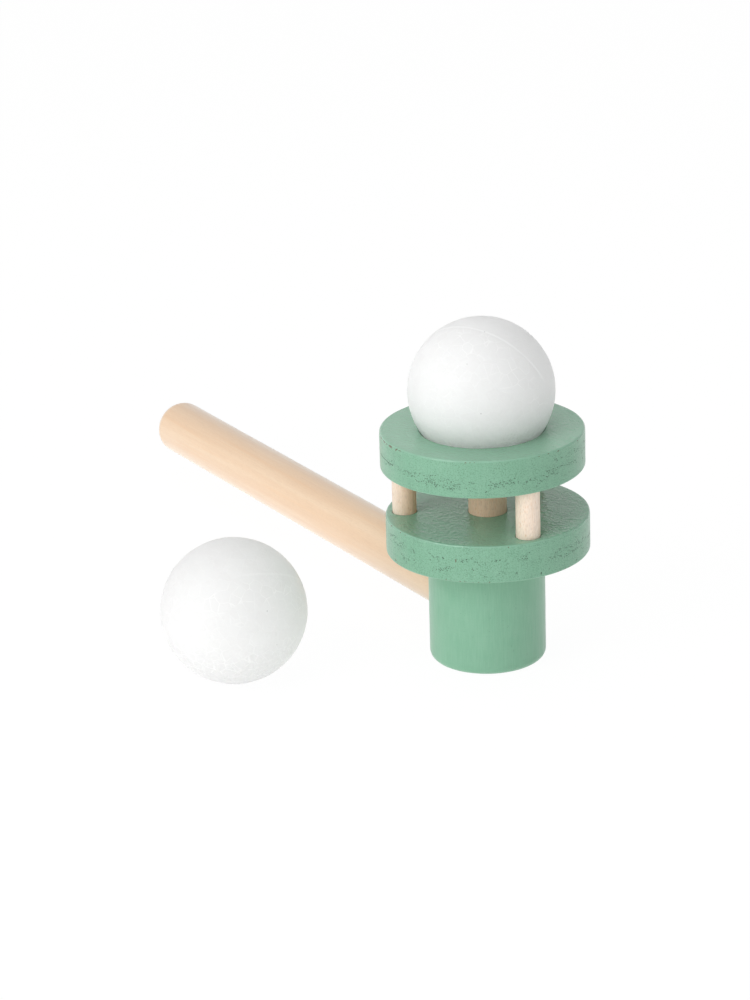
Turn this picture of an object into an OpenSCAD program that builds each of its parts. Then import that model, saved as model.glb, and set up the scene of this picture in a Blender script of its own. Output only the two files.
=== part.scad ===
// Floating ball blow pipe: a wooden toy with a long mouth pipe glued into the side of a
// turned cup. Breath leaves by a jet under a light ball, which rests on a ring and floats
// above it. A second ball lies loose beside the toy.
// The origin is the middle of the cup's flat underside. The cup stands on +Z and the pipe
// runs out along -X. The disc and the ring were glued on by eye, a little off the cup's axis.

/* [Ball] */
// Diameter of each foam ball
ball_d = 35; // [33:0.5:40]
// How far the loose ball lies from the toy's axis, back along the pipe
spare_back = 21.3; // [0:0.1:80]
// How far the loose ball lies to the side of the pipe
spare_side = 57.5; // [45:0.1:90]

/* [Discs] */
// Diameter of the lower disc and of the ring
disc_d = 48.7; // [48:0.1:60]
// Thickness of the board that both are cut from
disc_t = 9.2; // [8:0.1:12]
// Radius that the discs' edges are sanded to
disc_ease = 0.5; // [0.3:0.1:0.9]
// Open height between the lower disc and the ring
disc_gap = 11.7; // [9:0.1:15]
// Diameter of the hole in the ring that the ball sits on
seat_d = 29.6; // [26:0.1:31]

/* [Cup] */
// Diameter of the cup
cup_d = 28; // [27:0.1:36]
// Height of the cup
cup_h = 27.9; // [27:0.1:36]
// Radius round the cup's bottom edge
cup_round = 2; // [0.4:0.1:2.6]

/* [Mouth pipe] */
// Diameter of the pipe
pipe_d = 14; // [12:0.1:15]
// How far the pipe reaches out from the side of the cup
pipe_reach = 145.3; // [100:0.1:180]
// How deep the pipe is glued into the cup
pipe_depth = 10; // [7:0.1:10.5]
// Height of the pipe's middle above the cup's underside
pipe_z = 13.7; // [11:0.1:14]
// Bore of the pipe, and of the cross hole in the cup that carries its air on
air_d = 5; // [3:0.1:5.4]
// Diameter of the upright hole in the cup that turns the air up to the jet
riser_d = 6; // [5.6:0.1:7]
// Radius round the outside of the mouth end
mouth_round = 3.8; // [1:0.1:4]
// Radius round the edge of the bore in the mouth end
mouth_ease = 0.6; // [0.2:0.1:0.8]

/* [Jet] */
// Outer diameter of the jet tube
jet_d = 9.2; // [8:0.1:11]
// Bore of the jet tube
jet_bore_d = 4; // [2:0.1:4.6]
// How deep the jet tube goes into the cup below the lower disc
jet_depth = 5; // [3:0.1:5.5]
// Distance from the jet up to the bottom of the resting ball
jet_to_ball = 1.6; // [1:0.1:4]
// Radius round the edges of the jet's mouth
jet_ease = 0.4; // [0.1:0.1:0.6]

/* [Pillars] */
// Number of pillars that carry the ring
pillar_count = 3; // [3:1:6]
// Diameter of a pillar
pillar_d = 5.8; // [5:0.1:6.4]
// How far the pillars stand outside the middle of the ring's band
pillar_out = 0.2; // [-0.4:0.1:0.4]
// How deep each pillar goes into the lower disc and into the ring
pillar_depth = 5; // [3:0.1:6.5]

/* [Glue-up] */
// How far the lower disc, its pillars and the jet stand off the cup's axis, along +X
disc_ahead = 0.5; // [-0.5:0.1:0.5]
// How far the same pieces stand off the cup's axis, along +Y
disc_aside = 0.3; // [-0.4:0.1:0.4]
// How far the ring and the ball on it stand off the cup's axis, along +X
ring_ahead = -0.2; // [-0.5:0.1:0.5]
// How far the ring and the ball on it stand off the cup's axis, along +Y
ring_aside = -0.4; // [-0.4:0.1:0.4]
// Angle that the pillars are turned by round the jet
pillar_turn = -4; // [-8:0.5:8]

/* [Fits] */
// Radial room for glue round each piece that stands in a hole
glue_gap = 0.05; // [0.02:0.01:0.1]
// Room between the ball and the edge that it rests on
seat_gap = 0.1; // [0.05:0.01:0.2]

/* [Hidden] */
$fn = 96;

// Small overlap that lets a cutter run out past a face
cut = 1;

green = [0.55, 0.72, 0.62];
birch = [0.92, 0.84, 0.74];
maple = [0.94, 0.83, 0.70];
foam = [0.97, 0.97, 0.97];

// Heights of the stack above the cup's underside
disc_z = cup_h;
deck_z = disc_z + disc_t;
ring_z = deck_z + disc_gap;
ring_top_z = ring_z + disc_t;

// The resting ball touches the rounded edge of the ring's hole, so its middle lies on the
// slanting line through the middle of that rounding
ball_r = ball_d / 2;
seat_reach = ball_r + disc_ease + seat_gap;
seat_out = seat_d / 2 + disc_ease;
ball_z = ring_top_z - disc_ease + sqrt(pow(seat_reach, 2) - pow(seat_out, 2));

// The pipe starts inside the cup and ends at the mouth, where its wall limits the rounding
pipe_root_x = pipe_depth - cup_d / 2;
pipe_len = pipe_reach + pipe_depth;
mouth_r = min(mouth_round, (pipe_d - air_d) / 2 - mouth_ease);

// The upright hole is drilled on until it has passed the cross hole
riser_foot_z = pipe_z - riser_d / 2;

// The jet tube stands on the floor of its hole in the cup
jet_root_z = cup_h - jet_depth;
jet_len = ball_z - ball_r - jet_to_ball - jet_root_z;

// The pillars stand on a circle near the middle of the ring's band
pillar_circle_r = (disc_d + seat_d) / 4 + pillar_out;
pillar_root_z = deck_z - pillar_depth;
pillar_len = disc_gap + 2 * pillar_depth;

function pillar_name(number) = str("pillar_", number);

// Half section of a turned piece between two radii, standing on the X axis. The corners
// are rounded by circles: the inner and outer ones at its foot, then those at its top.
module turned_section(r_in, r_out, h, foot_in, foot_out, top_in, top_out) {
    difference() {
        translate([r_in, 0]) square([r_out - r_in, h]);
        corner_waste(r_in, 0, 1, 1, foot_in);
        corner_waste(r_out, 0, -1, 1, foot_out);
        corner_waste(r_in, h, 1, -1, top_in);
        corner_waste(r_out, h, -1, -1, top_out);
    }
}

// What comes off a square corner at x, y to round it. The piece lies on the side that
// side_x and side_y point to.
module corner_waste(x, y, side_x, side_y, radius) {
    if (radius > 0)
        difference() {
            translate([x - (side_x > 0 ? 0 : radius), y - (side_y > 0 ? 0 : radius)])
                square(radius);
            translate([x + side_x * radius, y + side_y * radius]) circle(radius);
        }
}

// A disc or a ring with every edge eased alike
module eased_disc(r_in, r_out, h, ease) {
    rotate_extrude()
        turned_section(r_in, r_out, h, r_in > 0 ? ease : 0, ease, r_in > 0 ? ease : 0, ease);
}

// Round hole that starts at the origin and goes up by h, with room for the glue
module glued_hole(d, h) {
    cylinder(d = d + 2 * glue_gap, h = h);
}

// Puts its children on the lower disc's axis
module on_disc() {
    translate([disc_ahead, disc_aside, 0]) children();
}

// Puts its children on the ring's axis
module on_ring() {
    translate([ring_ahead, ring_aside, 0]) children();
}

// Puts its children at a pillar's place. The first pillar is near +X, opposite the pipe.
module at_pillar(number) {
    on_disc()
        rotate([0, 0, pillar_turn + (number - 1) * 360 / pillar_count])
            translate([pillar_circle_r, 0, 0]) children();
}

// The hole for every pillar, blind, from floor_z up to top_z
module pillar_holes(floor_z, top_z) {
    for (i = [1 : pillar_count])
        at_pillar(i) translate([0, 0, floor_z]) glued_hole(pillar_d, top_z - floor_z);
}

// Dowel with a bore from end to end and a rounded mouth. It is turned upright and then
// laid along -X.
module blow_pipe() {
    color(maple)
        translate([pipe_root_x, 0, pipe_z])
            rotate([0, -90, 0])
                rotate_extrude()
                    turned_section(air_d / 2, pipe_d / 2, pipe_len, 0, 0, mouth_ease, mouth_r);
}

// Solid turned cup with a stepped hole in its side for the pipe and its air, and one in
// its top for the jet tube. The cross hole and the upright hole meet under the jet.
module cup() {
    color(green)
        difference() {
            rotate_extrude() turned_section(0, cup_d / 2, cup_h, 0, cup_round, 0, 0);
            translate([pipe_root_x, 0, pipe_z])
                rotate([0, -90, 0]) glued_hole(pipe_d, pipe_depth + cut);
            translate([disc_ahead, 0, pipe_z])
                rotate([0, -90, 0]) cylinder(d = air_d, h = disc_ahead + cut - pipe_root_x);
            on_disc()
                translate([0, 0, riser_foot_z]) cylinder(d = riser_d, h = cup_h - riser_foot_z);
            on_disc() translate([0, 0, jet_root_z]) glued_hole(jet_d, jet_depth + cut);
        }
}

// Disc on the cup, with a through hole for the jet tube and blind holes for the pillars
module lower_disc() {
    color(green)
        difference() {
            on_disc() translate([0, 0, disc_z]) eased_disc(0, disc_d / 2, disc_t, disc_ease);
            on_disc() translate([0, 0, disc_z - cut]) glued_hole(jet_d, disc_t + 2 * cut);
            pillar_holes(pillar_root_z, deck_z + cut);
        }
}

// Short tube that aims the air at the ball. It also holds the disc true on the cup.
module nozzle() {
    color(birch)
        on_disc()
            translate([0, 0, jet_root_z])
                rotate_extrude()
                    turned_section(jet_bore_d / 2, jet_d / 2, jet_len, 0, 0, jet_ease, jet_ease);
}

// One of the dowels between the lower disc and the ring
module pillar(number) {
    color(birch)
        at_pillar(number)
            translate([0, 0, pillar_root_z]) cylinder(d = pillar_d, h = pillar_len);
}

// Ring that the ball rests on, with blind holes in its underside for the pillars
module upper_ring() {
    color(green)
        difference() {
            on_ring()
                translate([0, 0, ring_z]) eased_disc(seat_d / 2, disc_d / 2, disc_t, disc_ease);
            pillar_holes(ring_z - cut, pillar_root_z + pillar_len);
        }
}

// Foam ball at rest on the ring
module floating_ball() {
    color(foam) on_ring() translate([0, 0, ball_z]) sphere(d = ball_d);
}

// Foam ball that lies on the table beside the pipe
module spare_ball() {
    color(foam) translate([-spare_back, -spare_side, ball_r]) sphere(d = ball_d);
}

blow_pipe();
cup();
lower_disc();
nozzle();
for (i = [1 : pillar_count])
    pillar(i);
upper_ring();
floating_ball();
spare_ball();
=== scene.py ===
"""Looks of the floating ball blow pipe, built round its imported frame.

Each piece is a detailed mesh that stands in for one solid. Wood is turned on a lathe of points, then pitted,
chipped and drilled. The foam balls are moulded from beads, with a seam round them.
Sizes in the helpers are millimetres, and a mesh is scaled to metres when it is made.
"""
import collections
import math

import bmesh
import bpy
import numpy as np
from mathutils import Matrix, Vector


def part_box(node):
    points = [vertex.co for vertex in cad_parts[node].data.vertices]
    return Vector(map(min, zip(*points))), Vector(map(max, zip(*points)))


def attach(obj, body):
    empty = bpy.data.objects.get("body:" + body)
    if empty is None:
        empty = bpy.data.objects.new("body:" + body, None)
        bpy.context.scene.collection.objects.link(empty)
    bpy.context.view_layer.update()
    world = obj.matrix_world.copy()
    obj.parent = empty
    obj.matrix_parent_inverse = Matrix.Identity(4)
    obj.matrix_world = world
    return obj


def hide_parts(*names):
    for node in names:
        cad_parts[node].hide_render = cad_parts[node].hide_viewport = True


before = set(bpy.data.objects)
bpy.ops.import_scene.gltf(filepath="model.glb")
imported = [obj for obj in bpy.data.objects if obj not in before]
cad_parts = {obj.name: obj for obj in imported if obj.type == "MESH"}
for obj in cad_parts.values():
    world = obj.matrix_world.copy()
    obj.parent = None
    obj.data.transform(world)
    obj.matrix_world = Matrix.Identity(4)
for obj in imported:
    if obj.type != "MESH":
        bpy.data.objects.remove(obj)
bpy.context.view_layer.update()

MM = 0.001

# Camera, fitted to the photograph: angles in degrees, the distance and the aim in millimetres
PICTURE_SIZE = (750, 1000)
SENSOR = 36.0
FOCAL_PIXELS = 3623.4
VIEW_AZIMUTH = 59.758
VIEW_ELEVATION = 20.258
VIEW_ROLL = -1.732
VIEW_DISTANCE = 862.54
AIM = (0.0, 0.0, 35.0)
AIM_PIXEL = (485.62, 518.05)


# Sizes read from the frame

Turned = collections.namedtuple("Turned", "x y low high radius")
Ball = collections.namedtuple("Ball", "centre radius")


def node_points(name):
    """The corners of a node's mesh in millimetres."""
    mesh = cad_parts[name].data
    points = np.empty(len(mesh.vertices) * 3)
    mesh.vertices.foreach_get("co", points)
    return points.reshape(-1, 3) / MM


def turned_size(name):
    """Axis, heights and radius of a node that is round about an upright axis."""
    low, high = (np.array(corner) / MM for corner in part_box(name))
    x, y = (low + high)[:2] / 2
    return Turned(x, y, low[2], high[2], (high - low)[1] / 2)


def ball_size(name):
    """Middle and radius of a node that is a ball."""
    low, high = (np.array(corner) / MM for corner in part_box(name))
    return Ball((low + high) / 2, (high - low)[2] / 2)


def hole_radius(points, across, middle):
    """Radius of the hole through points, seen along its axis. across holds the two axes across it."""
    return np.hypot(*(points[:, across] - middle).T).min()


RING = turned_size("upper_ring")
DISC = turned_size("lower_disc")
CUP = turned_size("cup")
NOZZLE = turned_size("nozzle")
PILLARS = {name: turned_size(name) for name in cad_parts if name.startswith("pillar")}
FLOATING = ball_size("floating_ball")
SPARE = ball_size("spare_ball")

pipe_low, pipe_high = (np.array(corner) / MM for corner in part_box("blow_pipe"))
PIPE_RADIUS = (pipe_high[2] - pipe_low[2]) / 2
PIPE_HEIGHT = (pipe_high[2] + pipe_low[2]) / 2
PIPE_ROOT = pipe_high[0]
PIPE_MOUTH = pipe_low[0]
PIPE_BORE = hole_radius(node_points("blow_pipe"), [1, 2], (0, PIPE_HEIGHT))
SEAT_RADIUS = hole_radius(node_points("upper_ring"), [0, 1], (RING.x, RING.y))
JET_BORE = hole_radius(node_points("nozzle"), [0, 1], (NOZZLE.x, NOZZLE.y))

# Sizes that the boxes of the nodes don't give, as in the part's source
RISER_RADIUS = 3.0
DISC_EASE = 0.5
CUP_ROUND = 2.0
MOUTH_ROUND = 3.8
MOUTH_EASE = 0.6
JET_EASE = 0.4
# Room round a dowel where it enters its hole, which shows as a dark line
DOWEL_GAP = 0.12


# Meshes

def add_piece(name, points, faces, marks=None, unrolled=None):
    """A smooth mesh object from points in millimetres. marks holds a number for each point by name.
    unrolled holds a place on the unrolled surface for each corner of each face, in millimetres."""
    mesh = bpy.data.meshes.new(name)
    mesh.from_pydata((np.asarray(points) * MM).tolist(), [], faces)
    if unrolled is not None:
        mesh.uv_layers.new(name="unrolled").data.foreach_set("uv", np.ravel(unrolled))
    for mark, values in (marks or {}).items():
        mesh.attributes.new(mark, "FLOAT", "POINT").data.foreach_set("value", np.ravel(values))
    mesh.shade_smooth()
    piece = bpy.data.objects.new(name, mesh)
    bpy.context.scene.collection.objects.link(piece)
    return piece


# A corner of a turned outline: its rounding, and how far apart the points lie from it to the next corner
Corner = collections.namedtuple("Corner", "r z rounding step")
ARC_STEP = 0.12


def fine_outline(corners, closed):
    """Points along an outline that goes round the solid with the solid on its left, as r and z."""
    count = len(corners)
    places = [np.array([c.r, c.z], float) for c in corners]
    runs = []
    for i, corner in enumerate(corners):
        here = places[i]
        if corner.rounding == 0:
            runs.append([here])
            continue
        back = places[i - 1] - here
        ahead = places[(i + 1) % count] - here
        back /= np.linalg.norm(back)
        ahead /= np.linalg.norm(ahead)
        middle = here + corner.rounding * (back + ahead)
        steps = max(4, math.ceil(corner.rounding * math.pi / 2 / ARC_STEP))
        turns = [math.pi / 2 * k / steps for k in range(steps + 1)]
        arc = [middle - corner.rounding * (ahead * math.cos(t) + back * math.sin(t)) for t in turns]
        runs.append(arc)
    outline = []
    for i, run in enumerate(runs):
        outline.extend(run)
        if i + 1 < count or closed:
            start, end = run[-1], runs[(i + 1) % count][0]
            steps = max(1, round(np.linalg.norm(end - start) / corners[i].step))
            outline.extend(start + (end - start) * k / steps for k in range(1, steps))
    return np.array(outline)


# Where a turned piece's grid starts, in degrees: behind the toy, as the photograph sees it
GRID_START = 150.0


class Lathe:
    """The grid of points of a turned piece: rows go along the outline and sectors round the axis."""

    def __init__(self, corners, sectors, closed=True):
        self.outline = fine_outline(corners, closed)
        self.closed = closed
        ahead = np.roll(self.outline, -1, axis=0) - np.roll(self.outline, 1, axis=0)
        if not closed:
            ahead[0] = self.outline[1] - self.outline[0]
            ahead[-1] = self.outline[-1] - self.outline[-2]
        ahead /= np.linalg.norm(ahead, axis=1)[:, None]
        self.normal = np.stack([ahead[:, 1], -ahead[:, 0]], axis=1)
        self.angle = math.radians(GRID_START) + np.arange(sectors) * 2 * math.pi / sectors
        self.r = self.outline[:, :1]
        self.z = self.outline[:, 1:]
        self.relief = np.zeros((len(self.outline), sectors))
        self.marks = {}

    @property
    def flat_places(self):
        """x, y and z of every grid point before relief."""
        x = self.r * np.cos(self.angle)
        y = self.r * np.sin(self.angle)
        return np.stack([x, y, np.broadcast_to(self.z, x.shape)], axis=-1)

    def facing(self, r, z):
        """How much each row faces a direction, from 0 to 1."""
        return np.clip(self.normal @ np.array([r, z], float), 0, 1)[:, None]

    def mark(self, name):
        """A number for every grid point, to be read by the material."""
        if name not in self.marks:
            self.marks[name] = np.zeros(self.relief.shape)
        return self.marks[name]

    def make(self, name, x=0.0, y=0.0):
        """The mesh object, standing at x, y. A row on the axis becomes one point."""
        rows, sectors = self.relief.shape
        r = self.r + self.relief * self.normal[:, :1]
        z = self.z + self.relief * self.normal[:, 1:]
        points = np.stack([x + r * np.cos(self.angle), y + r * np.sin(self.angle), z], axis=-1).reshape(-1, 3)
        counts = [sectors if radius > 1e-6 else 1 for radius in self.outline[:, 0]]
        starts = np.cumsum([0] + counts)
        index = [starts[row] + np.arange(sectors + 1) % counts[row] for row in range(rows)]
        kept = np.concatenate([row * sectors + np.arange(counts[row]) for row in range(rows)])
        lengths = np.linalg.norm(np.diff(self.outline, axis=0, append=self.outline[:1]), axis=1)
        along = np.cumsum([0, *lengths])
        around = np.linspace(0, 2 * math.pi * self.outline[:, 0].max(), sectors + 1)
        faces, unrolled = [], []
        for row in range(rows if self.closed else rows - 1):
            above = (row + 1) % rows
            corners = [index[row][:-1], index[row][1:], index[above][1:], index[above][:-1]]
            places = [(around[:-1], along[row]), (around[1:], along[row]),
                      (around[1:], along[row + 1]), (around[:-1], along[row + 1])]
            shown = [0, 1, 2, 3]
            if counts[row] == 1:
                shown.remove(1)
            if counts[above] == 1:
                shown.remove(2)
            faces += np.stack([corners[k] for k in shown], axis=1).tolist()
            flat = [np.stack([places[k][0], np.full(sectors, places[k][1])], axis=1) for k in shown]
            unrolled.append(np.stack(flat, axis=1).reshape(-1, 2))
        marks = {mark: values.reshape(-1)[kept] for mark, values in self.marks.items()}
        return add_piece(name, points[kept], faces, marks, np.concatenate(unrolled))


DRILL_SIDES = 128


def drill(piece, holes):
    """Cuts straight round holes, each given as its radius and its two ends. An end that is open lies a
    little outside the piece."""
    mesh = bpy.data.meshes.new("drill")
    solid = bmesh.new()
    for radius, start, end in holes:
        start, end = Vector(start), Vector(end)
        way = end - start
        place = Matrix.Translation((start + end) / 2 * MM) @ way.to_track_quat("Z", "Y").to_matrix().to_4x4()
        bmesh.ops.create_cone(solid, cap_ends=True, segments=DRILL_SIDES, radius1=radius * MM,
                              radius2=radius * MM, depth=way.length * MM, matrix=place)
    solid.to_mesh(mesh)
    solid.free()
    cutter = bpy.data.objects.new("drill", mesh)
    bpy.context.scene.collection.objects.link(cutter)
    cut = piece.modifiers.new("drill", "BOOLEAN")
    cut.operation = "DIFFERENCE"
    cut.solver = "MANIFOLD"
    cut.object = cutter
    settle(piece)
    bpy.data.objects.remove(cutter)
    piece.data.set_sharp_from_angle(angle=math.radians(45))


def settle(piece):
    """Applies a piece's modifiers to its mesh."""
    ready = piece.evaluated_get(bpy.context.evaluated_depsgraph_get())
    mesh = bpy.data.meshes.new_from_object(ready)
    mesh.name = piece.name
    piece.modifiers.clear()
    piece.data = mesh


# Relief

def stretched(along, times):
    """A stretch for each axis: times along one axis and 1 along the others."""
    return tuple(times if axis == along else 1 for axis in range(3))


WAVES = 28


def ripple(points, length, seed, stretch=(1, 1, 1)):
    """A smooth random field with waves of about one length, and a spread of 1. stretch lengthens the waves
    by axis."""
    random = np.random.default_rng(seed)
    directions = random.normal(size=(WAVES, 3))
    directions /= np.linalg.norm(directions, axis=1)[:, None]
    waves = directions * 2 * math.pi / length / np.array(stretch) * random.uniform(0.7, 1.4, (WAVES, 1))
    phases = random.uniform(0, 2 * math.pi, WAVES)
    total = np.zeros(points.shape[:-1])
    for wave, phase in zip(waves, phases):
        total += np.sin(points @ wave + phase)
    return total / math.sqrt(WAVES / 2)


# A short mark on a round wall: where it is, its half length and half width, its tilt and how deep it is.
# Angles are in degrees.
Dent = collections.namedtuple("Dent", "angle height length width tilt depth")


def press(lathe, dents, radius, name):
    """Presses dents into a lathe's grid. What they leave is kept under a name for the material."""
    field = lathe.mark(name)
    along = lathe.angle * radius
    whole = 2 * math.pi * radius
    for dent in dents:
        reach = dent.length + dent.width
        rows = np.nonzero(np.abs(lathe.z[:, 0] - dent.height) < reach)[0]
        rows = rows[lathe.r[rows, 0] > radius - 2 * reach]
        aside = (along - math.radians(dent.angle) * radius + whole / 2) % whole - whole / 2
        sectors = np.nonzero(np.abs(aside) < reach)[0]
        if len(rows) == 0 or len(sectors) == 0:
            continue
        up = lathe.z[rows] - dent.height
        inward = radius - lathe.r[rows]
        up = up + np.sign(up) * inward
        side = aside[sectors][None, :]
        tilt = math.radians(dent.tilt)
        on = side * math.cos(tilt) + up * math.sin(tilt)
        off = up * math.cos(tilt) - side * math.sin(tilt)
        shape = np.clip(1 - (on / dent.length) ** 2 - (off / dent.width) ** 2, 0, 1)
        part = np.ix_(rows, sectors)
        field[part] = np.maximum(field[part], shape)
        lathe.relief[part] = np.minimum(lathe.relief[part], -dent.depth * shape)


def scattered(random, count, angles, height, spread, length, width, tilt, depth):
    """Dents strewn between two angles round a height, which they stray from by about spread. Those without
    depth leave only a mark."""
    low, high = angles
    return [
        Dent(random.uniform(low, high), random.normal(height, spread), length * random.uniform(0.4, 1.6),
             width * random.uniform(0.6, 1.4), random.normal(tilt, 18), depth * random.uniform(0.4, 1.0))
        for _ in range(count)
    ]


# Materials

# Size of a foam bead
BEAD = 2.6
WOOD_IOR = 1.5
FOAM_IOR = 1.25


def tree_of(name):
    """A new material with an empty tree."""
    material = bpy.data.materials.new(name)
    material.use_nodes = True
    material.node_tree.nodes.clear()
    return material, material.node_tree


def add_node(tree, kind, inputs=None, **settings):
    """Adds a shader node. inputs gives each socket a value or another node's socket."""
    node = tree.nodes.new("ShaderNode" + kind)
    for name, value in settings.items():
        setattr(node, name, value)
    for socket, value in (inputs or {}).items():
        if isinstance(value, bpy.types.NodeSocket):
            tree.links.new(value, node.inputs[socket])
        else:
            node.inputs[socket].default_value = value
    return node


def noise(tree, size, stretch=(1, 1, 1), detail=2.0, offset=0.0):
    """Noise in the piece's own coordinates, with grains of a size in millimetres. stretch lengthens the
    grains by axis."""
    place = add_node(tree, "TexCoord").outputs["Object"]
    scale = [1 / (size * MM * s) for s in stretch]
    moved = add_node(tree, "Mapping", {"Vector": place, "Scale": scale, "Location": (offset, offset, offset)})
    field = add_node(tree, "TexNoise", {"Vector": moved.outputs[0], "Scale": 1.0, "Detail": detail})
    return field.outputs["Fac"]


def unrolled_place(tree, along, up, tilt, offset):
    """Place on the unrolled wall of a turned piece, in cells of along by up millimetres, and tilted."""
    place = add_node(tree, "UVMap", uv_map="unrolled").outputs[0]
    turned = add_node(tree, "Mapping", {"Vector": place, "Rotation": (0, 0, math.radians(tilt))})
    return add_node(tree, "Mapping", {"Vector": turned.outputs[0], "Scale": (1 / along, 1 / up, 1),
                                      "Location": offset}).outputs[0]


def wall_noise(tree, along, up, tilt=0.0, detail=2.0, offset=0.0):
    """Noise on the unrolled wall. Its grains are along by up millimetres, and tilted."""
    place = unrolled_place(tree, along, up, tilt, (offset, offset, offset))
    return add_node(tree, "TexNoise", {"Vector": place, "Scale": 1.0, "Detail": detail}).outputs["Fac"]


def wall_strokes(tree, along, up, tilt, size, density, offset=0.0):
    """Short separate strokes on the unrolled wall, at most one in each cell of along by up millimetres.
    density is the share of the cells that have one, and size its half width in cells."""
    place = unrolled_place(tree, along, up, tilt, (offset, offset, 0))
    cells = add_node(tree, "TexVoronoi", {"Vector": place, "Scale": 1.0}, voronoi_dimensions="2D")
    chance = add_node(tree, "SeparateColor", {"Color": cells.outputs["Color"]}).outputs[0]
    grown = ramp(tree, combined(tree, density, chance, "SUBTRACT"), 0, 0.4, 0, size)
    return ramp(tree, combined(tree, grown, cells.outputs["Distance"], "SUBTRACT"), 0, 0.14)


def ramp(tree, value, low, high, to_low=0.0, to_high=1.0):
    """A number brought from one range to another, and held inside it."""
    inputs = {"Value": value, "From Min": low, "From Max": high, "To Min": to_low, "To Max": to_high}
    return add_node(tree, "MapRange", inputs).outputs[0]


def mixed(tree, share, first, second, blend="MIX"):
    """Two colours mixed by a share. A colour is a socket, or its red, green and blue."""
    node = add_node(tree, "Mix", data_type="RGBA", blend_type=blend, clamp_result=False)
    for socket, value in ((0, share), (6, first), (7, second)):
        if isinstance(value, bpy.types.NodeSocket):
            tree.links.new(value, node.inputs[socket])
        else:
            node.inputs[socket].default_value = value if socket == 0 else (*value, 1)
    return node.outputs[2]


def layered(tree, color, layers):
    """Lays more colours over a colour. layers is a list of (share, colour)."""
    for share, tint in layers:
        color = mixed(tree, share, color, tint)
    return color


def combined(tree, first, second, operation="ADD"):
    """Two numbers put together by an operation of the Math node."""
    return add_node(tree, "Math", {0: first, 1: second}, operation=operation).outputs[0]


def product(tree, first, second):
    """Two numbers multiplied."""
    return combined(tree, first, second, "MULTIPLY")


def painted_mark(tree, name):
    """A number that the mesh keeps for each of its points."""
    return add_node(tree, "Attribute", attribute_name=name).outputs["Fac"]


def finish_material(tree, color, roughness, heights, **fixed):
    """Ends a tree with the surface shader. heights is a list of (field, depth in millimetres)."""
    inputs = {"Base Color": color, "Roughness": roughness}
    normal = None
    for field, depth in heights:
        inputs_bump = {"Height": field, "Distance": depth * MM, "Strength": 1.0}
        if normal:
            inputs_bump["Normal"] = normal
        normal = add_node(tree, "Bump", inputs_bump).outputs[0]
    if normal:
        inputs["Normal"] = normal
    inputs.update({name.replace("_", " "): value for name, value in fixed.items()})
    surface = add_node(tree, "BsdfPrincipled", inputs)
    add_node(tree, "OutputMaterial", {"Surface": surface.outputs[0]})


# Colours of the paint and of what shows in it
PAINT_GREENS = (0.200, 0.428, 0.285), (0.222, 0.452, 0.308)
VENEER_GREEN = (0.26, 0.475, 0.345)
FIBRE_GREEN = (0.27, 0.50, 0.36)
PLY_GREEN = (0.165, 0.36, 0.235)
GRAIN_GREEN = (0.13, 0.30, 0.19)
STROKE_GREEN = (0.10, 0.23, 0.15)
PIT_GREEN = (0.06, 0.115, 0.08)
# The rims' paler green is a painted highlight
RIM_HIGHLIGHT_GREEN = (0.36, 0.60, 0.46)
CHIP_BROWN = (0.12, 0.08, 0.045)
# The cells of the strokes in the paint: their height, tilt and half width
STROKE = (0.36, 24, 0.36)


def green_paint(name):
    """Satin paint over wood. The tops are smooth but for an orange peel, and the rims are painted paler as a
    highlight. Upright fibres show through it on every wall, and on the boards' walls the plies, the grain and
    fine strokes do too. It is pitted, and chipped down to the brown wood."""
    material, tree = tree_of(name)
    names = ("deck", "wall", "board", "rim", "worn", "pit", "chip")
    deck, wall, board, rim, worn, dented, chip = (painted_mark(tree, mark) for mark in names)
    broad = noise(tree, 6)
    patch = noise(tree, 2.4, detail=1, offset=13)
    peel = product(tree, noise(tree, 0.8, detail=3, offset=3), deck)
    veneer = product(tree, noise(tree, 0.5, stretch=(9, 1, 1), detail=3, offset=7), deck)
    grain = product(tree, wall_noise(tree, 0.36, 0.3, tilt=20, offset=9), board)
    upright = wall_noise(tree, 0.3, 5)
    plies = wall_noise(tree, 16, 0.45, detail=3, offset=5)
    density = product(tree, ramp(tree, patch, 0.35, 0.65, 0.1, 0.75), board)
    faint = wall_strokes(tree, 0.5, *STROKE, density, 3)
    pit = wall_strokes(tree, 0.56, *STROKE, worn, 17)
    pit = combined(tree, pit, ramp(tree, dented, 0.1, 0.7), "MAXIMUM")
    color = layered(tree, mixed(tree, ramp(tree, broad, 0.3, 0.7), *PAINT_GREENS), [
        (ramp(tree, veneer, 0.45, 0.75, 0, 0.12), VENEER_GREEN),
        (product(tree, ramp(tree, upright, 0.4, 0.75, 0, 0.5), wall), FIBRE_GREEN),
        (product(tree, ramp(tree, plies, 0.5, 0.8, 0, 0.25), board), PLY_GREEN),
        (ramp(tree, grain, 0.48, 0.7, 0, 0.75), GRAIN_GREEN),
        (product(tree, faint, 0.6), STROKE_GREEN),
        (product(tree, pit, 0.85), PIT_GREEN),
        # Painted highlight: paler paint along the rims
        (product(tree, rim, 0.3), RIM_HIGHLIGHT_GREEN),
        (ramp(tree, chip, 0.1, 0.4, 0, 0.85), CHIP_BROWN),
    ])
    rough = combined(tree, 0.36, product(tree, deck, 0.23), "SUBTRACT")
    rough = combined(tree, rough, product(tree, rim, 0.16), "SUBTRACT")
    rough = combined(tree, rough, product(tree, pit, 0.4))
    heights = [(veneer, 0.008), (peel, 0.26), (grain, 0.035), (plies, 0.03), (upright, 0.012),
               (faint, -0.03), (pit, -0.09)]
    finish_material(tree, color, rough, heights, IOR=WOOD_IOR, Sheen_Weight=0.15, Sheen_Roughness=0.4)
    return material


FLECK_ORANGE = (0.76, 0.47, 0.26)
# What a thread makes of the colour below it, and the painted shade that browns wood where the toy shades it
THREAD_TINT = (0.95, 0.84, 0.72)
SHADE_BROWN_TINT = (1.0, 0.80, 0.67)


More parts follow.
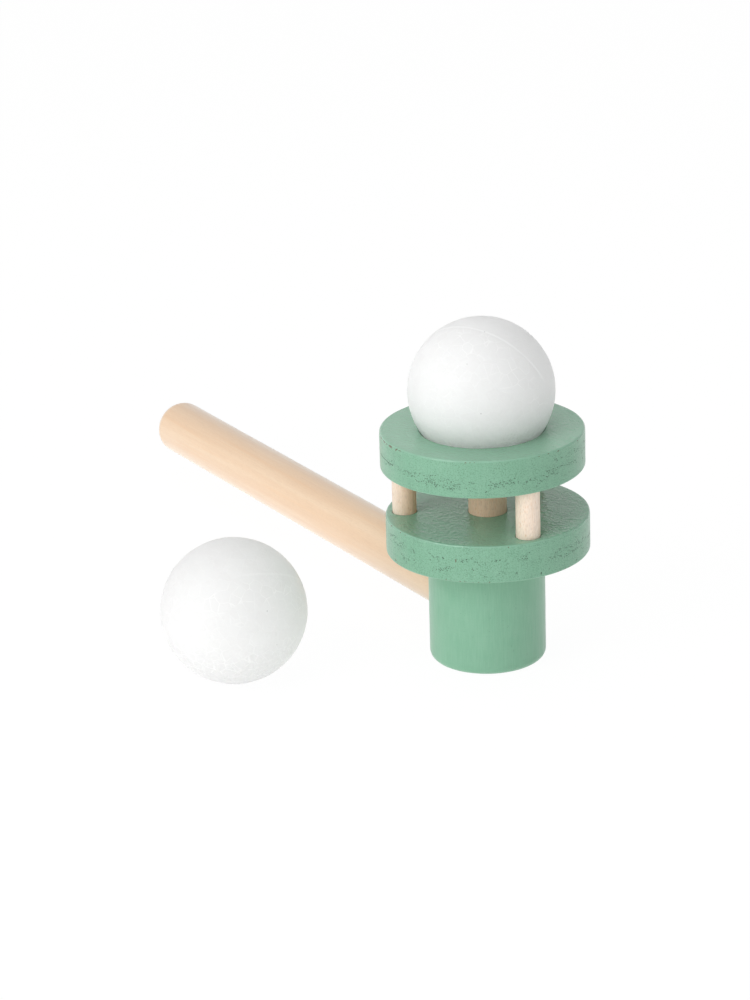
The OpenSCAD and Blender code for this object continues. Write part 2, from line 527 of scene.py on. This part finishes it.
def bare_wood(name, pale, dark, along, roughness, sheen, figure):
    """Raw wood with streaks and threads along its grain, and fibres, pores and small orange flecks that are
    as strong as figure says. Where the mesh marks it, the wood is browned as painted shade."""
    material, tree = tree_of(name)
    streak = noise(tree, 2.2, stretch=stretched(along, 40))
    thread = noise(tree, 1.0, stretch=stretched(along, 40), detail=1, offset=14)
    fibre = noise(tree, 0.26, stretch=stretched(along, 12), detail=3, offset=5)
    pore = noise(tree, 0.24, stretch=stretched(along, 4), offset=8)
    fleck = noise(tree, 0.26, stretch=stretched(along, 4), detail=1, offset=11)
    color = layered(tree, mixed(tree, ramp(tree, streak, 0.35, 0.7), pale, dark), [
        (ramp(tree, fibre, 0.42, 0.72, 0, 0.45 * figure), [c * 0.84 for c in dark]),
        (ramp(tree, pore, 0.5, 0.7, 0, 0.4 * figure), [c * 0.72 for c in dark]),
        (ramp(tree, fleck, 0.6, 0.72, 0, 0.4 * figure), FLECK_ORANGE),
        (ramp(tree, thread, 0.6, 0.68, 0, 0.35), [c * tint for c, tint in zip(pale, THREAD_TINT)]),
    ])
    # Painted shade: browner wood where the mesh marks it
    color = mixed(tree, painted_mark(tree, "shade_browned"), color, SHADE_BROWN_TINT, "MULTIPLY")
    rough = ramp(tree, fibre, 0.3, 0.7, roughness - 0.06, roughness + 0.06)
    heights = [(fibre, 0.035 * figure), (pore, 0.03 * figure)]
    finish_material(tree, color, rough, heights, IOR=WOOD_IOR, Sheen_Weight=sheen, Sheen_Roughness=0.4)
    return material


def bead_distance(tree, place):
    """Distance from a place to the nearest border between foam beads, in bead sizes."""
    inputs = {"Vector": place, "Scale": 1 / (BEAD * MM)}
    return add_node(tree, "TexVoronoi", inputs, feature="DISTANCE_TO_EDGE").outputs["Distance"]


def grey(value):
    """A grey with the same value in red, green and blue."""
    return (value, value, value)


# How much paler than the foam the lines between beads and the seam are, and the painted highlights on the
# creases
LINE_LIFT = 1.12
SPECK_GREY = grey(0.25)


def bead_foam(name, specks, tone, foot, glow):
    """White moulded foam with paler lines where beads meet, creases near its foot with painted highlights on
    them, a seam, and small dark specks at some points. tone is its grey, foot its grey at the very foot,
    which is painted light there where it is paler than tone and painted shade where it is darker, and glow
    how far light spreads inside it in millimetres."""
    material, tree = tree_of(name)
    place = add_node(tree, "TexCoord").outputs["Object"]
    names = ("beyond", "seam", "lined", "crumpled_and_foot_shading")
    beyond, seamed, lined, crumpled_and_foot_shading = (painted_mark(tree, mark) for mark in names)
    fine = noise(tree, 0.5, detail=3)
    patch = noise(tree, 3.5, detail=1, offset=4)
    warp = noise(tree, 1.2, offset=6)
    folds = noise(tree, 2.0, offset=15)
    crumple = product(tree, noise(tree, 1.1, detail=4, offset=9), crumpled_and_foot_shading)
    line = ramp(tree, bead_distance(tree, place), 0.01, 0.045, 1, 0)
    line = product(tree, line, ramp(tree, patch, 0.4, 0.58, 0.2, 1))
    line = product(tree, line, ramp(tree, warp, 0.35, 0.55, 0.35, 1))
    line = product(tree, line, lined)
    seam = product(tree, ramp(tree, combined(tree, beyond, 0, "ABSOLUTE"), 0.15, 0.42, 1, 0), seamed)
    folds = combined(tree, combined(tree, folds, 0.5, "SUBTRACT"), 0, "ABSOLUTE")
    # Painted highlight: pale lines on the crumples' creases, for the light on their ridges
    crease_highlight = product(tree, ramp(tree, folds, 0.0, 0.03, 1, 0), crumpled_and_foot_shading)
    beads = add_node(tree, "TexVoronoi", {"Vector": place, "Scale": 1 / (BEAD * MM)}, feature="F1")
    color = mixed(tree, beads.outputs["Color"], (tone, tone - 0.005, tone - 0.005), grey(tone + 0.02))
    color = layered(tree, color, [
        (ramp(tree, fine, 0.35, 0.7, 0, 0.3), grey(tone + 0.04)),
        # Painted light and shade at the ball's foot: its grey there becomes foot
        (crumpled_and_foot_shading, grey(foot)),
        (line, grey(LINE_LIFT * tone)),
        # painted crease highlights
        (product(tree, crease_highlight, 0.5), grey(LINE_LIFT * tone)),
        (seam, grey(LINE_LIFT * tone)),
    ])
    for point in specks:
        away = add_node(tree, "VectorMath", {0: place, 1: [c * MM for c in point]}, operation="DISTANCE")
        dot = ramp(tree, away.outputs["Value"], 0.08 * MM, 0.2 * MM, 0.6, 0)
        color = mixed(tree, dot, color, SPECK_GREY)
    finish_material(tree, color, ramp(tree, fine, 0.3, 0.7, 0.36, 0.5),
                    [(crumple, 0.6), (fine, 0.06), (line, 0.03)], IOR=FOAM_IOR,
                    Subsurface_Weight=1.0, Subsurface_Radius=(1, 1, 1), Subsurface_Scale=glow * MM)
    return material


# The axis that the grain runs along
UPRIGHT = 2
LENGTHWISE = 0
PAINT = green_paint("green_paint")
BIRCH = bare_wood("natural_birch", (0.98, 0.83, 0.70), (0.94, 0.765, 0.62), UPRIGHT, 0.62, 0.1, 1.2)
MAPLE = bare_wood("natural_maple", (0.87, 0.65, 0.45), (0.82, 0.57, 0.37), LENGTHWISE, 0.42, 1.0, 0.35)


def dress(piece, material, body, node):
    """Gives a piece its material, its body and the node that it stands for."""
    piece.data.materials.clear()
    piece.data.materials.append(material)
    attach(piece, body)
    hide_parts(node)


# Distances between rows of points: on the boards' sides, on their tops, on other walls, and out of sight
SIDE_STEP = 0.125
DECK_STEP = 0.36
WALL_STEP = 0.3
HIDDEN_STEP = 0.9
# How far walls, tops and balls are held inside the solids, so that their relief stays inside too
WALL_INSET = 0.05
TOP_INSET = 0.03
BALL_INSET = 0.07


# The two discs

DISC_SECTORS = 600


def board_outline(size, inner, inner_ease):
    """Outline of a disc or ring cut from a board, with its edges eased."""
    return [
        Corner(inner, size.low, inner_ease, HIDDEN_STEP),
        Corner(size.radius, size.low, DISC_EASE, SIDE_STEP),
        Corner(size.radius, size.high, DISC_EASE, DECK_STEP),
        Corner(inner, size.high, inner_ease, HIDDEN_STEP),
    ]


def board_relief(lathe, seed):
    """Sanding waves, the ridges between plies, and the soft dips of the veneer on top."""
    places = lathe.flat_places
    side = lathe.facing(1, 0)
    top = lathe.facing(0, 1)
    upright = ripple(places, 1.1, seed, stretch=(1, 1, 12))
    plies = ripple(places * np.array([0.02, 0.02, 1]), 1.3, seed + 1)
    wander = 0.6 + 0.4 * ripple(places, 14, seed + 2)
    lathe.relief += side * (0.008 * upright + 0.012 * plies * wander) - WALL_INSET * side
    lathe.relief += top * (0.01 * ripple(places, 2.2, seed + 3, stretch=(5, 1, 1)) - TOP_INSET)
    lathe.mark("deck")[:] = top
    lathe.mark("wall")[:] = side
    lathe.mark("board")[:] = side
    # The rim mark lowers the paint's roughness and paints the rim paler as a highlight
    lathe.mark("rim")[:] = 2 * side * top


def make_ring():
    """The ring on the pillars, with its worn belts, a dashed scratch in front and chips along its top rim."""
    lathe = Lathe(board_outline(RING, SEAT_RADIUS, DISC_EASE), DISC_SECTORS)
    board_relief(lathe, 10)
    random = np.random.default_rng(11)
    low, tall = RING.low, RING.high - RING.low
    worn = scattered(random, 10, (-100, -56), low + 0.49 * tall, 0.15, 3.0, 0.4, 3, 0)
    worn += scattered(random, 22, (-76, 16), low + 0.37 * tall, 0.4, 3.4, 0.5, 4, 0)
    worn += scattered(random, 8, (-64, -46), low + 0.31 * tall, 0.35, 2.4, 0.8, 4, 0)
    worn += scattered(random, 12, (8, 62), low + 0.74 * tall, 0.3, 3.6, 0.35, 0, 0)
    worn += scattered(random, 12, (8, 62), low + 0.5 * tall, 0.5, 3.6, 0.35, 0, 0)
    worn += scattered(random, 50, (60, 248), low + 0.4 * tall, 1.0, 3.2, 0.5, 3, 0)
    press(lathe, worn, RING.radius, "worn")
    pits = [Dent(-104 + 2.3 * k, low + 0.49 * tall - 0.02 * k, 0.8, 0.13, -2, 0.12) for k in range(-3, 6)]
    press(lathe, pits, RING.radius, "pit")
    chips = scattered(random, 10, (-110, -82), RING.high - 0.45, 0.1, 0.8, 0.18, 5, 0.08)
    chips += scattered(random, 26, (-80, 270), RING.high - 0.3, 0.08, 0.22, 0.16, 0, 0.05)
    press(lathe, chips, RING.radius, "chip")
    ring = lathe.make("painted_ring", RING.x, RING.y)
    holes = [(p.radius + DOWEL_GAP, (p.x, p.y, RING.low - 1), (p.x, p.y, p.high)) for p in PILLARS.values()]
    drill(ring, holes)
    dress(ring, PAINT, "toy", "upper_ring")


def make_disc():
    """The lower disc, with its worn belts, four deeper pits and chips along both rims."""
    lathe = Lathe(board_outline(DISC, NOZZLE.radius + DOWEL_GAP, 0), DISC_SECTORS)
    board_relief(lathe, 30)
    random = np.random.default_rng(31)
    low, tall = DISC.low, DISC.high - DISC.low
    worn = scattered(random, 16, (-95, -20), low + 0.62 * tall, 0.35, 2.2, 0.45, -4, 0)
    worn += scattered(random, 14, (-88, -10), low + 0.28 * tall, 0.5, 2.0, 0.4, -4, 0)
    worn += scattered(random, 12, (-20, 40), low + 0.6 * tall, 0.5, 2.0, 0.4, 6, 0)
    worn += scattered(random, 16, (5, 62), low + 0.45 * tall, 1.4, 2.8, 0.35, 0, 0)
    worn += scattered(random, 60, (60, 268), low + 0.5 * tall, 1.4, 2.6, 0.45, -4, 0)
    press(lathe, worn, DISC.radius, "worn")
    pits = [
        Dent(-58, low + 5.7, 0.5, 0.16, -40, 0.16), Dent(-1.8, low + 1.1, 0.45, 0.2, 75, 0.22),
        Dent(3.8, low + 1.7, 0.3, 0.14, 90, 0.14), Dent(26.3, low + 1.1, 0.3, 0.16, 40, 0.14),
    ]
    press(lathe, pits, DISC.radius, "pit")
    chips = scattered(random, 34, (-100, 260), DISC.high - 0.3, 0.08, 0.24, 0.17, 0, 0.06)
    chips += scattered(random, 46, (0, 360), DISC.low + 0.25, 0.08, 0.22, 0.16, 0, 0.05)
    chips += [Dent(-50.2, low + 5.5, 0.7, 0.14, 88, 0.12), Dent(-96.4, low + 1.0, 0.5, 0.18, -30, 0.12)]
    press(lathe, chips, DISC.radius, "chip")
    disc = lathe.make("painted_disc", DISC.x, DISC.y)
    holes = [(p.radius + DOWEL_GAP, (p.x, p.y, p.low), (p.x, p.y, DISC.high + 1)) for p in PILLARS.values()]
    drill(disc, holes)
    dress(disc, PAINT, "toy", "lower_disc")


# The cup

CUP_SECTORS = 400


def make_cup():
    """The cup, drilled for the jet, the pipe and their air."""
    riser_foot = PIPE_HEIGHT - RISER_RADIUS
    lathe = Lathe([
        Corner(0, CUP.low, 0, HIDDEN_STEP),
        Corner(CUP.radius, CUP.low, CUP_ROUND, WALL_STEP),
        Corner(CUP.radius, CUP.high, 0, HIDDEN_STEP),
        Corner(0, CUP.high, 0, HIDDEN_STEP),
    ], CUP_SECTORS, closed=False)
    places = lathe.flat_places
    side = lathe.facing(1, 0)
    upright = ripple(places, 1.2, 50, stretch=(1, 1, 14))
    lathe.relief += side * (0.01 * upright + 0.008 * ripple(places, 5, 51) - TOP_INSET)
    random = np.random.default_rng(52)
    dashes = scattered(random, 40, (0, 360), CUP.high * 0.45, 8, 0.5, 0.12, 90, 0.04)
    press(lathe, dashes, CUP.radius, "pit")
    lathe.mark("pit")[:] *= 0.35
    lathe.mark("wall")[:] = side
    lathe.mark("board")[:] = 0.4 * side
    cup = lathe.make("painted_cup")
    jet_x, jet_y = NOZZLE.x, NOZZLE.y
    drill(cup, [
        (NOZZLE.radius + DOWEL_GAP, (jet_x, jet_y, NOZZLE.low), (jet_x, jet_y, CUP.high + 2)),
        (PIPE_RADIUS + DOWEL_GAP / 2, (PIPE_ROOT, 0, PIPE_HEIGHT), (-CUP.radius - 2, 0, PIPE_HEIGHT)),
    ])
    drill(cup, [(RISER_RADIUS, (jet_x, jet_y, riser_foot), (jet_x, jet_y, NOZZLE.low + 1))])
    drill(cup, [(PIPE_BORE, (jet_x, 0, PIPE_HEIGHT), (PIPE_ROOT - 0.5, 0, PIPE_HEIGHT))])
    dress(cup, PAINT, "toy", "cup")


# Dowels, jet and mouth pipe

def grain_relief(lathe, seed, depth):
    """Fine ridges of raw grain along the axis that a piece is turned on."""
    ridges = ripple(lathe.flat_places, 0.8, seed, stretch=stretched(UPRIGHT, 20))
    lathe.relief += lathe.facing(1, 0) * depth * (ridges - 2)


DOWEL_SECTORS = 96
DOWEL_EASE = 0.3
# How much each dowel is browned as painted shade, from 0 to 1, on its side away from the toy's middle and on
# the side towards it
DOWEL_SHADE_BROWN = {"pillar_1": (0, 0), "pillar_2": (0.2, 0.9), "pillar_3": (0.05, 1.0)}


def make_pillars():
    """The dowels that carry the ring. They reach down into the disc and up into the ring."""
    for number, (name, size) in enumerate(PILLARS.items()):
        lathe = Lathe([
            Corner(0, size.low, 0, HIDDEN_STEP),
            Corner(size.radius, size.low, DOWEL_EASE, WALL_STEP),
            Corner(size.radius, size.high, DOWEL_EASE, HIDDEN_STEP),
            Corner(0, size.high, 0, HIDDEN_STEP),
        ], DOWEL_SECTORS, closed=False)
        grain_relief(lathe, 70 + number, 0.008)
        # Painted shade: the side towards the toy's middle, which the ring and discs shade, is browned
        inward = np.cos(lathe.angle - math.atan2(DISC.y - size.y, DISC.x - size.x))
        lathe.mark("shade_browned")[:] = np.interp(inward, (-0.7, 0.8), DOWEL_SHADE_BROWN[name])
        dowel = lathe.make(name.replace("pillar", "dowel"), size.x, size.y)
        dress(dowel, BIRCH, "toy", name)


JET_SECTORS = 144
# The jet stands in the shade under the ring and is browned all round as painted shade
JET_SHADE_BROWN = 0.75


def make_jet():
    """The tube that blows at the ball."""
    lathe = Lathe([
        Corner(JET_BORE, NOZZLE.low, 0, WALL_STEP),
        Corner(NOZZLE.radius, NOZZLE.low, 0, WALL_STEP),
        Corner(NOZZLE.radius, NOZZLE.high, JET_EASE, WALL_STEP),
        Corner(JET_BORE, NOZZLE.high, JET_EASE, HIDDEN_STEP),
    ], JET_SECTORS)
    grain_relief(lathe, 80, 0.008)
    lathe.mark("shade_browned")[:] = JET_SHADE_BROWN
    dress(lathe.make("jet_tube", NOZZLE.x, NOZZLE.y), BIRCH, "toy", "nozzle")


PIPE_SECTORS = 200
PIPE_STEP = 0.8
BORE_STEP = 3.0


def make_pipe():
    """The mouth pipe, turned upright and then laid along -X."""
    length = PIPE_ROOT - PIPE_MOUTH
    lathe = Lathe([
        Corner(PIPE_BORE, 0, 0, PIPE_STEP),
        Corner(PIPE_RADIUS, 0, 0, PIPE_STEP),
        Corner(PIPE_RADIUS, length, MOUTH_ROUND, WALL_STEP),
        Corner(PIPE_BORE, length, MOUTH_EASE, BORE_STEP),
    ], PIPE_SECTORS)
    grain_relief(lathe, 90, 0.006)
    pipe = lathe.make("mouth_pipe")
    lay_down = Matrix.Rotation(-math.pi / 2, 4, "Y")
    pipe.data.transform(Matrix.Translation(Vector((PIPE_ROOT, 0, PIPE_HEIGHT)) * MM) @ lay_down)
    dress(pipe, MAPLE, "toy", "blow_pipe")


# Foam balls

# Quads along the edge of each of the six faces that a ball is made of
BALL_CELLS = 120
RELIEF_MOST = 0.06
# A ball's mould seam lies on the plane that faces way, offset radii from the middle. It fades in along
# fade_way between the two fade heights.
Seam = collections.namedtuple("Seam", "way offset fade_way fade_low fade_high strength")
FLOATING_SEAM = Seam((-0.42, 0.815, 0.40), 0.126, (0, 0, 1), 0.22, 0.42, 1.0)
SPARE_SEAM = Seam((-0.61, 0.17, 0.77), 0.17, (0.5, 0.86, 0), 0.05, 0.3, 0.35)


def cube_sphere(cells):
    """Evenly spread directions on a sphere, as the six faces of a cube welded along its edges, and their
    quads."""
    step = np.tan(np.linspace(-math.pi / 4, math.pi / 4, cells + 1))
    u, v = np.meshgrid(step, step, indexing="ij")
    one = np.ones_like(u)
    sides = []
    for axis in range(3):
        for sign in (1, -1):
            side = np.empty((cells + 1, cells + 1, 3))
            side[..., axis] = sign * one
            side[..., (axis + 1) % 3] = u
            side[..., (axis + 2) % 3] = v * sign
            sides.append(side)
    points = np.concatenate([side.reshape(-1, 3) for side in sides])
    points /= np.linalg.norm(points, axis=1)[:, None]
    grid = np.arange((cells + 1) ** 2).reshape(cells + 1, cells + 1)
    quad = np.stack([grid[:-1, :-1], grid[1:, :-1], grid[1:, 1:], grid[:-1, 1:]], axis=-1).reshape(-1, 4)
    quads = np.concatenate([quad + k * (cells + 1) ** 2 for k in range(6)])
    keys = np.round(points * 1e6).astype(np.int64)
    _, first, welded = np.unique(keys, axis=0, return_index=True, return_inverse=True)
    return points[first], np.ravel(welded)[quads]


def bead_relief(piece):
    """Sinks the borders between beads a little into a ball, and leaves what lies beyond the seam smoother."""
    tree = bpy.data.node_groups.new("bead_relief", "GeometryNodeTree")
    tree.interface.new_socket("Mesh", in_out="INPUT", socket_type="NodeSocketGeometry")
    tree.interface.new_socket("Mesh", in_out="OUTPUT", socket_type="NodeSocketGeometry")
    mesh_in = tree.nodes.new("NodeGroupInput").outputs[0]
    distance = bead_distance(tree, tree.nodes.new("GeometryNodeInputPosition").outputs[0])
    beyond = tree.nodes.new("GeometryNodeInputNamedAttribute")
    beyond.inputs["Name"].default_value = "beyond"
    depth = ramp(tree, beyond.outputs[0], -0.1, 0.3, 0.03 * MM, 0.01 * MM)
    sunk = ramp(tree, distance, 0.0, 0.16, 1, 0)
    normal = tree.nodes.new("GeometryNodeInputNormal").outputs[0]
    inward = product(tree, product(tree, sunk, depth), -1)
    way = add_node(tree, "VectorMath", {0: normal, "Scale": inward}, operation="SCALE")
    shift = tree.nodes.new("GeometryNodeSetPosition")
    tree.links.new(mesh_in, shift.inputs["Geometry"])
    tree.links.new(way.outputs[0], shift.inputs["Offset"])
    tree.links.new(shift.outputs[0], tree.nodes.new("NodeGroupOutput").inputs[0])
    piece.modifiers.new("bead_relief", "NODES").node_group = tree
    settle(piece)
    bpy.data.node_groups.remove(tree)


# How a ball looks: the directions of its dark specks, its seam, its grey, its grey at the foot, painted as
# light on the floating ball's shaded foot and as shade on the spare ball's foot, and how far light spreads
# inside it in millimetres
Foam = collections.namedtuple("Foam", "specks seam tone foot glow")
# The two balls are one foam: the floating ball's paler grey is painted light, the spare ball's darker grey
# painted shade
FLOATING_FOAM = Foam([(0.332, -0.139, 0.933), (0.842, -0.54, 0.004), (0.548, -0.559, 0.622)],
                     FLOATING_SEAM, 0.87, 0.98, 45)
SPARE_FOAM = Foam([(0.973, 0.114, -0.199), (0.951, -0.001, 0.308)], SPARE_SEAM, 0.765, 0.73, 90)


def make_ball(name, ball, seed, node, foam):
    """A ball moulded from beads, with one seam. Its foot is crumpled."""
    seam = foam.seam
    ways, quads = cube_sphere(BALL_CELLS)
    beyond = (ways @ np.array(seam.way) / np.linalg.norm(seam.way) - seam.offset) * ball.radius
    shown = np.interp(ways @ np.array(seam.fade_way), (seam.fade_low, seam.fade_high), (0, seam.strength))
    ridge = 0.03 * np.exp(-(beyond / 0.2) ** 2)
    step = 0.015 * np.clip(0.5 - beyond / 0.4, 0, 1)
    crinkled = np.clip(0.5 + ripple(ways, 0.5, seed + 7), 0, 1.5)
    relief = shown * ridge + seam.strength * step + 0.01 * ripple(ways, 0.4, seed)
    relief += 0.015 * crinkled * ripple(ways, 0.05, seed + 6)
    points = ways * (ball.radius - BALL_INSET + np.minimum(relief, RELIEF_MOST))[:, None] + ball.centre
    low_part = np.clip(-ways[:, 2] - 0.05, 0, 1)
    below_seam = np.exp(-((beyond + 5) / 3) ** 2)
    lined = np.clip(0.35 + 1.2 * low_part + 0.55 * below_seam, 0, 1)
    lined *= np.where(beyond > 0, 1 - 0.8 * seam.strength, 1)
    # The foot mark carries the crumples and the painted light and shade of the foot's grey
    crumpled_and_foot_shading = np.clip(2.2 * low_part, 0, 1)
    marks = {"beyond": beyond, "seam": shown, "lined": lined, "crumpled_and_foot_shading": crumpled_and_foot_shading}
    piece = add_piece(name, points, quads.tolist(), marks)
    bead_relief(piece)
    dots = [ball.centre + np.array(way) / np.linalg.norm(way) * ball.radius for way in foam.specks]
    dress(piece, bead_foam("foam_" + node, dots, foam.tone, foam.foot, foam.glow), node, node)


make_ring()
make_disc()
make_cup()
make_pillars()
make_jet()
make_pipe()
make_ball("foam_ball", FLOATING, 100, "floating_ball", FLOATING_FOAM)
make_ball("loose_foam_ball", SPARE, 200, "spare_ball", SPARE_FOAM)


# Floor, light and camera

# Half the floor's width in metres, and how far it lies below the toy in millimetres
FLOOR_HALF = 4.0
FLOOR_DROP = 0.03
FLOOR_GREY = 0.9
# How much of the floor's picture is plain white, and how much its own light and shadow
FLOOR_WHITE = 0.95
TABLE_LIGHT = 0.36
WORLD_LIGHT = 0.47
# The world's share of that light at the photograph's left and at its right
WORLD_SIDES = (1.12, 0.8)
# How white gloss sees the world low and high up, the heights that it changes between, and how white it still
# is at the photograph's left and right
GLOSS_WHITES = (0.92, 0.8)
GLOSS_HEIGHTS = (0.3, 0.65)
GLOSS_SIDES = (1, 0.6)
WHITE = (1, 1, 1, 1)


def seen_share(tree):
    """1 for the rays that camera, gloss and glass see by, and 0 for those that light the toy."""
    path = add_node(tree, "LightPath")
    seen = combined(tree, path.outputs["Is Camera Ray"], path.outputs["Is Glossy Ray"], "MAXIMUM")
    return combined(tree, seen, path.outputs["Is Transmission Ray"], "MAXIMUM")


def make_floor():
    """A white table that also glows a little. Camera, gloss and glass see it lifted to white, with the
    shadows still on it."""
    corners = [(-1, -1), (1, -1), (1, 1), (-1, 1)]
    points = [(x * FLOOR_HALF, y * FLOOR_HALF, -FLOOR_DROP * MM) for x, y in corners]
    mesh = bpy.data.meshes.new("floor")
    mesh.from_pydata(points, [], [(0, 1, 2, 3)])
    floor = bpy.data.objects.new("floor", mesh)
    bpy.context.scene.collection.objects.link(floor)
    material, tree = tree_of("floor")
    paper = add_node(tree, "BsdfDiffuse", {"Color": (*grey(FLOOR_GREY), 1)})
    glow = add_node(tree, "Emission", {"Color": WHITE, "Strength": TABLE_LIGHT})
    lit = add_node(tree, "AddShader", {0: paper.outputs[0], 1: glow.outputs[0]})
    white = add_node(tree, "Emission", {"Color": WHITE, "Strength": 1.0})
    share = product(tree, seen_share(tree), FLOOR_WHITE)
    blend = add_node(tree, "MixShader", {0: share, 1: lit.outputs[0], 2: white.outputs[0]})
    add_node(tree, "OutputMaterial", {"Surface": blend.outputs[0]})
    mesh.materials.append(material)


def make_world():
    """Soft light from all round, weaker from the photograph's right. Camera and glass see it as white. Gloss
    sees it nearly white by the horizon, and darker higher up and at the right."""
    world = bpy.data.worlds.new("studio")
    bpy.context.scene.world = world
    world.use_nodes = True
    tree = world.node_tree
    tree.nodes.clear()
    way = add_node(tree, "TexCoord").outputs["Generated"]
    height = add_node(tree, "SeparateXYZ", {"Vector": way}).outputs["Z"]
    right = tuple(way_back(VIEW_AZIMUTH + 90, 0))
    side = add_node(tree, "VectorMath", {0: way, 1: right}, operation="DOT_PRODUCT").outputs["Value"]
    strength = ramp(tree, side, -1, 1, *(share * WORLD_LIGHT for share in WORLD_SIDES))
    light = add_node(tree, "Background", {"Color": WHITE, "Strength": strength})
    by_height = ramp(tree, height, *GLOSS_HEIGHTS, *GLOSS_WHITES)
    gloss = product(tree, by_height, ramp(tree, side, 0, 0.9, *GLOSS_SIDES))
    tone = mixed(tree, add_node(tree, "LightPath").outputs["Is Glossy Ray"], (1, 1, 1), gloss)
    white = add_node(tree, "Background", {"Color": tone, "Strength": 1.0})
    blend = add_node(tree, "MixShader", {0: seen_share(tree), 1: light.outputs[0], 2: white.outputs[0]})
    add_node(tree, "OutputWorld", {"Surface": blend.outputs[0]})


def way_back(azimuth, elevation):
    """The direction from the object towards a camera or lamp. Azimuth 0 stands on -Y and looks along +Y."""
    a, e = math.radians(azimuth), math.radians(elevation)
    return Vector((math.sin(a) * math.cos(e), -math.cos(a) * math.cos(e), math.sin(e)))


LAMP_DISTANCE = 1.1


def add_lamp(name, azimuth, elevation, size, share):
    """A square softbox aimed at the toy. share is its light on a surface that faces it, where white is 1."""
    lamp = bpy.data.lights.new(name, "AREA")
    lamp.size = size
    lamp.energy = share * (math.pi * LAMP_DISTANCE) ** 2
    back = way_back(azimuth, elevation)
    box = bpy.data.objects.new(name, lamp)
    box.location = Vector(AIM) * MM + back * LAMP_DISTANCE
    box.rotation_mode = "QUATERNION"
    box.rotation_quaternion = back.to_track_quat("Z", "Y")
    bpy.context.scene.collection.objects.link(box)


def make_camera():
    """The photograph's camera: it aims at a point of the toy that the picture shows at a known pixel."""
    camera = bpy.data.cameras.new("camera")
    camera.sensor_width = SENSOR
    camera.lens = FOCAL_PIXELS / max(PICTURE_SIZE) * SENSOR
    camera.clip_start, camera.clip_end = 0.01, 100
    back = way_back(VIEW_AZIMUTH, VIEW_ELEVATION)
    right = Vector((math.cos(math.radians(VIEW_AZIMUTH)), math.sin(math.radians(VIEW_AZIMUTH)), 0))
    up = back.cross(right)
    roll = math.radians(VIEW_ROLL)
    right, up = right * math.cos(roll) + up * math.sin(roll), up * math.cos(roll) - right * math.sin(roll)
    aside = (AIM_PIXEL[0] - PICTURE_SIZE[0] / 2) / FOCAL_PIXELS
    below = (AIM_PIXEL[1] - PICTURE_SIZE[1] / 2) / FOCAL_PIXELS
    eye = (Vector(AIM) + (back - right * aside + up * below) * VIEW_DISTANCE) * MM
    holder = bpy.data.objects.new("camera", camera)
    bpy.context.scene.collection.objects.link(holder)
    turn = Matrix((right, up, back)).transposed().to_4x4()
    holder.matrix_world = Matrix.Translation(eye) @ turn
    bpy.context.scene.camera = holder


make_floor()
make_world()
add_lamp("key", azimuth=12, elevation=27, size=0.65, share=0.42)
add_lamp("fill", azimuth=60, elevation=40, size=0.8, share=0.05)
add_lamp("top", azimuth=0, elevation=88, size=0.8, share=0.2)
make_camera()
bpy.context.scene.view_settings.view_transform = "Standard"
